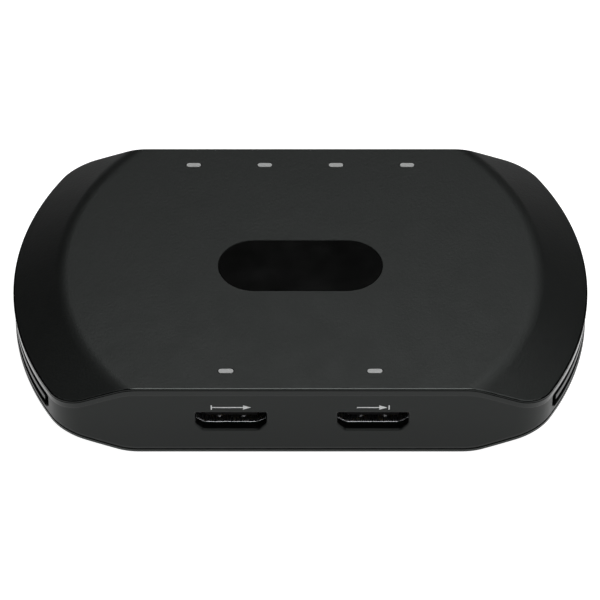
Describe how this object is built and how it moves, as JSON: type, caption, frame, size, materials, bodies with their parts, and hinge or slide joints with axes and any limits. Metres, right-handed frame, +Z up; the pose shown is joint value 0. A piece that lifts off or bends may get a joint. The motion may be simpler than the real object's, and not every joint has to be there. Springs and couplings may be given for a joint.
{
  "type": "video capture box",
  "caption": "Flat closed plastic box with sloped rounded ends, louvred side vents, video sockets in front, data, power and sound sockets behind, and small light windows on top.",
  "frame": {"origin": "centre of the footprint, on the surface that the feet stand on", "axes": "+X along the long side to the right seen from the front, -Y to the front with the video sockets, +Z up"},
  "size_m": [0.1262, 0.0764, 0.0201],
  "materials": {
    "cover": "fine-grained matte black-grey",
    "frame": "smooth satin black-grey",
    "base": "fine-grained matte black-grey",
    "inlay": "polished black",
    "light_guide": "milky clear",
    "emitter": "clear yellowish resin",
    "board": "green solder mask",
    "chip": "matte black resin",
    "coil": "grey ferrite",
    "pad": "soft grey-blue",
    "sink": "extruded, brushed",
    "shell": "plated sheet",
    "insert": "black moulding",
    "contact": "gilt",
    "jack": "black moulding",
    "pin": "plated",
    "button": "red moulding",
    "screw": "zinc plated",
    "foot": "matte black rubber"
  },
  "bodies": {
    "housing": {"top_cover": "cover", "mid_frame": "frame", "base_plate": "base", "gloss_inlay": "inlay", "front_light_guides": "light_guide", "rear_light_guides": "light_guide", "light_emitters": "emitter", "main_board": "board", "processor": "chip", "memory_chips": "chip", "video_chips": "chip", "power_coils": "coil", "thermal_pad": "pad", "heat_sink": "sink", "video_out_shell": "shell", "video_out_insert": "insert", "video_out_contacts": "contact", "video_in_shell": "shell", "video_in_insert": "insert", "video_in_contacts": "contact", "data_shell": "shell", "data_insert": "insert", "sound_in_jack": "jack", "sound_out_jack": "jack", "power_jack": "jack", "power_pin": "pin", "reset_switch": "jack", "board_screws": "screw", "case_screws": "screw", "rubber_feet": "foot"},
    "reset_button": {"reset_button": "button"}
  },
  "joints": [
    {"name": "reset_press", "type": "slide", "parent": "housing", "child": "reset_button", "axis": [0, -1, 0], "range_m": [0, 0.0004], "stiffness_N_per_m": 1500, "springref_m": -0.001}
  ]
}
